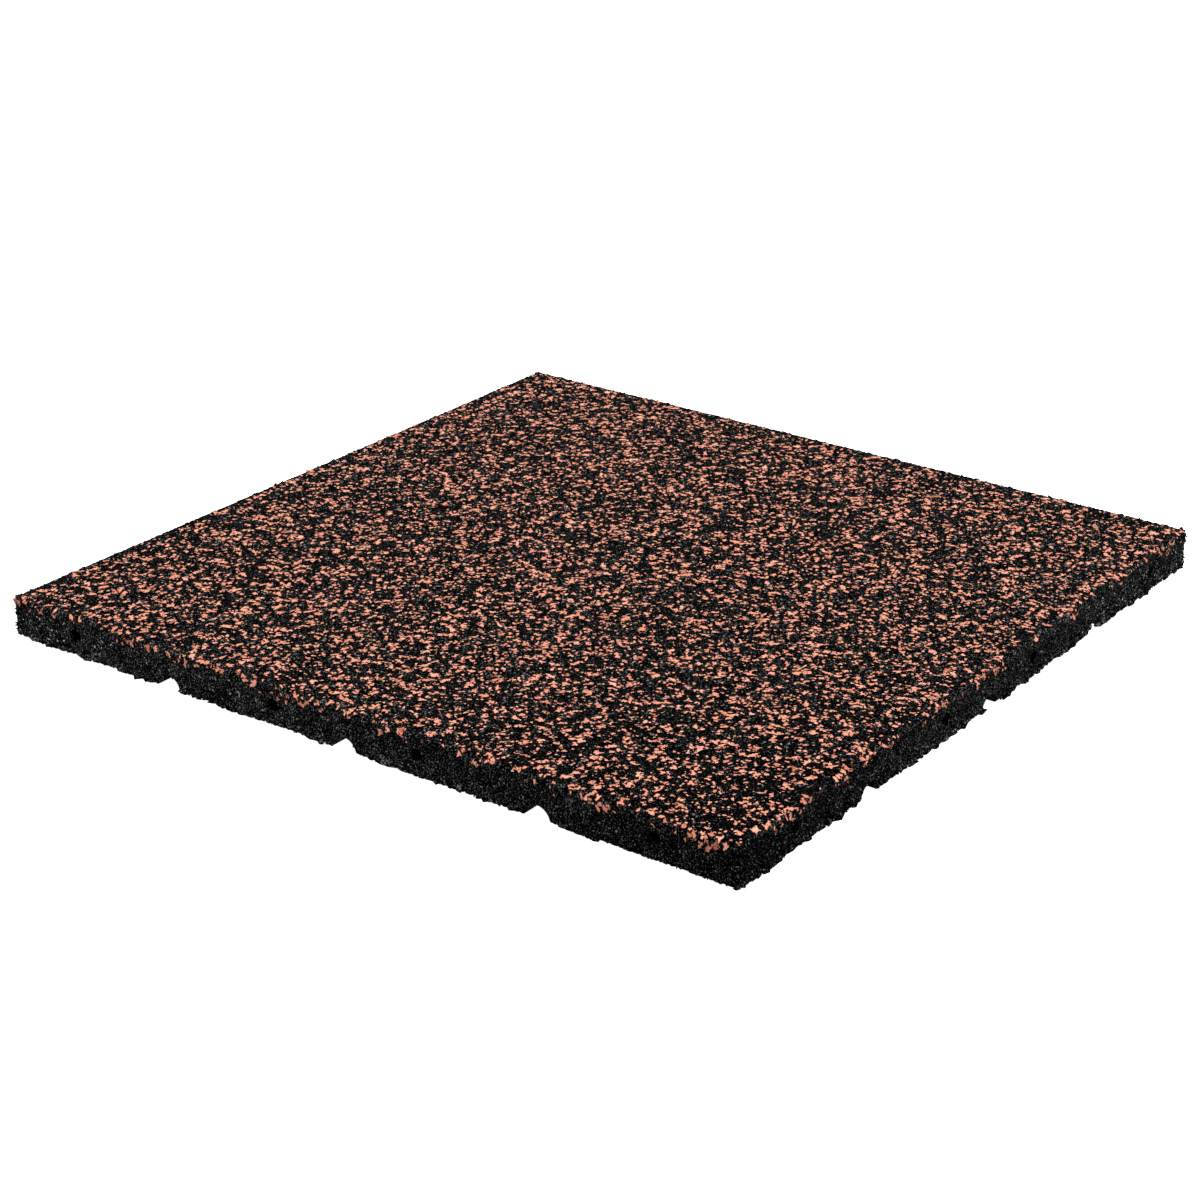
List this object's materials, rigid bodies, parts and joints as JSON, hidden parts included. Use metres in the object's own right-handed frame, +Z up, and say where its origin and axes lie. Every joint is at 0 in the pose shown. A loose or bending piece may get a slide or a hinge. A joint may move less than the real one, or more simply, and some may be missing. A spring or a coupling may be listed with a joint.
{
  "type": "rubber safety tile",
  "caption": "Square safety tile of bonded rubber granulate with rounded edges, drainage channels under it and connector pin holes in its sides.",
  "frame": {"origin": "middle of the underside, on the plane that the tile lies on", "axes": "+Z up through the walking face; +X and +Y along the sides; the picture's near corner is at -X -Y"},
  "size_m": [0.5, 0.5, 0.024],
  "materials": {
    "rubber_granulate": "matt bonded granulate, black with about a third of terracotta chips in the walking face, nearly black at the sides"
  },
  "bodies": {
    "root": {"rubber_tile": "rubber_granulate"}
  },
  "joints": []
}
